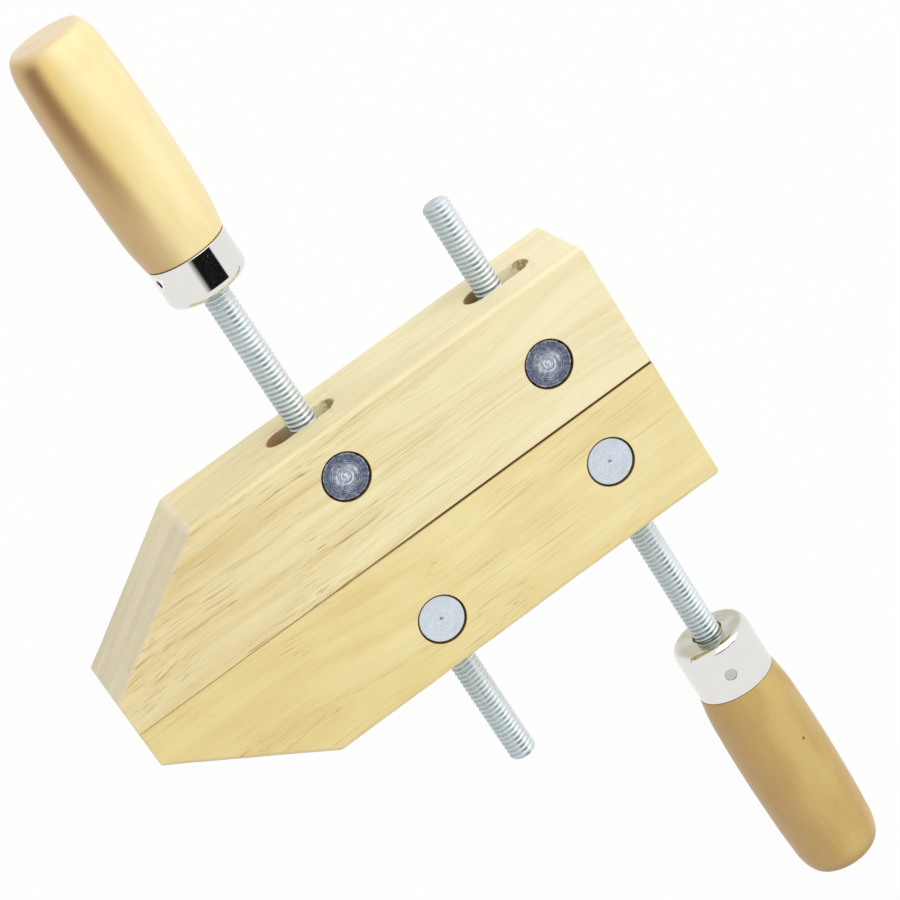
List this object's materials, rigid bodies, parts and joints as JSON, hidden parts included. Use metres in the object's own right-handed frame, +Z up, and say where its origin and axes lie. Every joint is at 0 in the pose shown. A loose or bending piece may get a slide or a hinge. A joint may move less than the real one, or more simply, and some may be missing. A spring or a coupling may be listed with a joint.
{
  "type": "hand screw clamp",
  "caption": "Wooden hand screw clamp: parallel jaws with sloped noses, drawn together by threaded spindles with turned handles and barrel nuts.",
  "frame": {"origin": "centre of the bottom of the whole clamp's box, lying on its back faces with its jaws closed", "axes": "+X from the jaws' nose to their heel, +Y along the spindles from the lower jaw to the upper jaw, +Z up through the jaws' thickness"},
  "size_m": [0.2, 0.3898, 0.0396],
  "materials": {
    "upper_jaw_wood": "fine sanded, unvarnished",
    "lower_jaw_wood": "fine sanded, unvarnished",
    "pale_varnished_wood": "clear varnish",
    "tan_varnished_wood": "clear varnish",
    "dark_steel": "blue-grey, turned rings",
    "bright_zinc": "bright zinc plated",
    "polished_plating": "polished",
    "plain_steel": "ground"
  },
  "bodies": {
    "lower_jaw": {"lower_jaw": "lower_jaw_wood"},
    "front_lower_nut": {"front_lower_nut": "bright_zinc"},
    "rear_lower_nut": {"rear_lower_nut": "bright_zinc"},
    "front_carriage": {"front_spindle_tail": "plain_steel"},
    "front_spindle": {"front_spindle": "bright_zinc", "front_handle": "pale_varnished_wood", "front_ferrule": "polished_plating", "front_ferrule_pin": "plain_steel"},
    "rear_carriage": {"rear_spindle_tail": "plain_steel"},
    "rear_spindle": {"rear_spindle": "bright_zinc", "rear_handle": "tan_varnished_wood", "rear_ferrule": "polished_plating", "rear_ferrule_pin": "plain_steel"},
    "rear_upper_nut": {"rear_upper_nut": "dark_steel"},
    "upper_jaw": {"upper_jaw": "upper_jaw_wood"},
    "front_upper_nut": {"front_upper_nut": "dark_steel"}
  },
  "joints": [
    {"name": "jaw_opening", "type": "slide", "parent": "rear_carriage", "child": "rear_upper_nut", "axis": [0, 1, 0], "range_m": [0, 0.03]},
    {"name": "front_spindle_travel", "type": "slide", "parent": "front_lower_nut", "child": "front_carriage", "axis": [0, 1, 0], "range_m": [0, 0.03]},
    {"name": "front_spindle_turn", "type": "hinge", "parent": "front_carriage", "child": "front_spindle", "pos_m": [-0.0014, 0.1, 0.0198], "axis": [0, 1, 0], "range_deg": [0, 6353]},
    {"name": "rear_spindle_turn", "type": "hinge", "parent": "rear_carriage", "child": "rear_spindle", "pos_m": [0.0716, -0.1, 0.0198], "axis": [0, 1, 0], "range_deg": [0, 6353]},
    {"name": "jaw_tilt", "type": "hinge", "parent": "rear_upper_nut", "child": "upper_jaw", "pos_m": [0.0716, 0.0224, 0.0198], "axis": [0, 0, -1], "range_deg": [0, 4]},
    {"name": "front_lower_nut_turn", "type": "hinge", "parent": "lower_jaw", "child": "front_lower_nut", "pos_m": [-0.0014, -0.0266, 0.0198], "axis": [0, 0, -1], "range_deg": [0, 4]},
    {"name": "rear_lower_nut_turn", "type": "hinge", "parent": "lower_jaw", "child": "rear_lower_nut", "pos_m": [0.0716, -0.0172, 0.0198], "axis": [0, 0, -1], "range_deg": [0, 4]},
    {"name": "front_upper_nut_turn", "type": "hinge", "parent": "upper_jaw", "child": "front_upper_nut", "pos_m": [-0.0014, 0.0318, 0.0198], "axis": [0, 0, 1], "range_deg": [0, 4]},
    {"name": "rear_spindle_shift", "type": "slide", "parent": "front_carriage", "child": "rear_carriage", "axis": [-0.0929, 0.9957, 0], "range_m": [0, 0.00898]}
  ],
  "couplings": [
    {"joint": "front_spindle_travel", "follows": "jaw_opening", "ratio": 1},
    {"joint": "front_spindle_turn", "follows": "jaw_opening", "rad_per_m": 3696},
    {"joint": "rear_spindle_turn", "follows": "jaw_opening", "rad_per_m": 3696},
    {"joint": "front_lower_nut_turn", "follows": "jaw_tilt", "ratio": 1},
    {"joint": "rear_lower_nut_turn", "follows": "jaw_tilt", "ratio": 1},
    {"joint": "front_upper_nut_turn", "follows": "jaw_tilt", "ratio": 1},
    {"joint": "rear_spindle_shift", "follows": "jaw_tilt", "m_per_rad": 0.12855}
  ]
}
